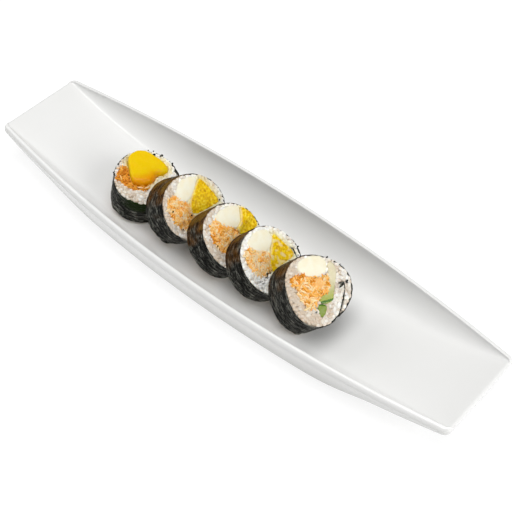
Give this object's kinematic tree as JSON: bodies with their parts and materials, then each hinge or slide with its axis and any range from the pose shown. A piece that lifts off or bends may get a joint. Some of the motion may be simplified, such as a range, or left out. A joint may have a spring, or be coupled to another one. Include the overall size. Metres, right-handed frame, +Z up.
{
  "type": "maki sushi roll",
  "caption": "Cut maki rolls with rice, nori, salmon, mango, cream cheese and cucumber, leaning in a row on a long white boat-shaped plate.",
  "frame": {"origin": "middle of the plate's foot, on the surface that the plate stands on", "axes": "+Z up, X along the plate's long side with the pieces' cut faces looking toward +X and up, -Y the plate's front side"},
  "size_m": [0.357, 0.095, 0.0539],
  "materials": {
    "porcelain": "smooth clear glaze over white porcelain",
    "nori": "moist dark seaweed sheet with fine streaks and a soft sheen",
    "rice": "moist cooked rice grains",
    "cream_cheese": "smooth soft cream cheese",
    "salmon": "flaky cooked salmon, moist",
    "mango": "wet fibrous mango flesh",
    "cucumber": "wet cucumber flesh with a green skin"
  },
  "bodies": {
    "root": {"plate": "porcelain", "roll1_nori": "nori", "roll1_rice": "rice", "roll1_salmon": "salmon", "roll1_mango": "mango", "roll2_nori": "nori", "roll2_rice": "rice", "roll2_cream_cheese": "cream_cheese", "roll2_salmon": "salmon", "roll2_mango": "mango", "roll3_nori": "nori", "roll3_rice": "rice", "roll3_cream_cheese": "cream_cheese", "roll3_salmon": "salmon", "roll3_mango": "mango", "roll4_nori": "nori", "roll4_rice": "rice", "roll4_cream_cheese": "cream_cheese", "roll4_salmon": "salmon", "roll4_mango": "mango", "roll5_nori": "nori", "roll5_rice": "rice", "roll5_cream_cheese": "cream_cheese", "roll5_salmon": "salmon", "roll5_cucumber_wide": "cucumber", "roll5_cucumber_slim": "cucumber"}
  },
  "joints": []
}
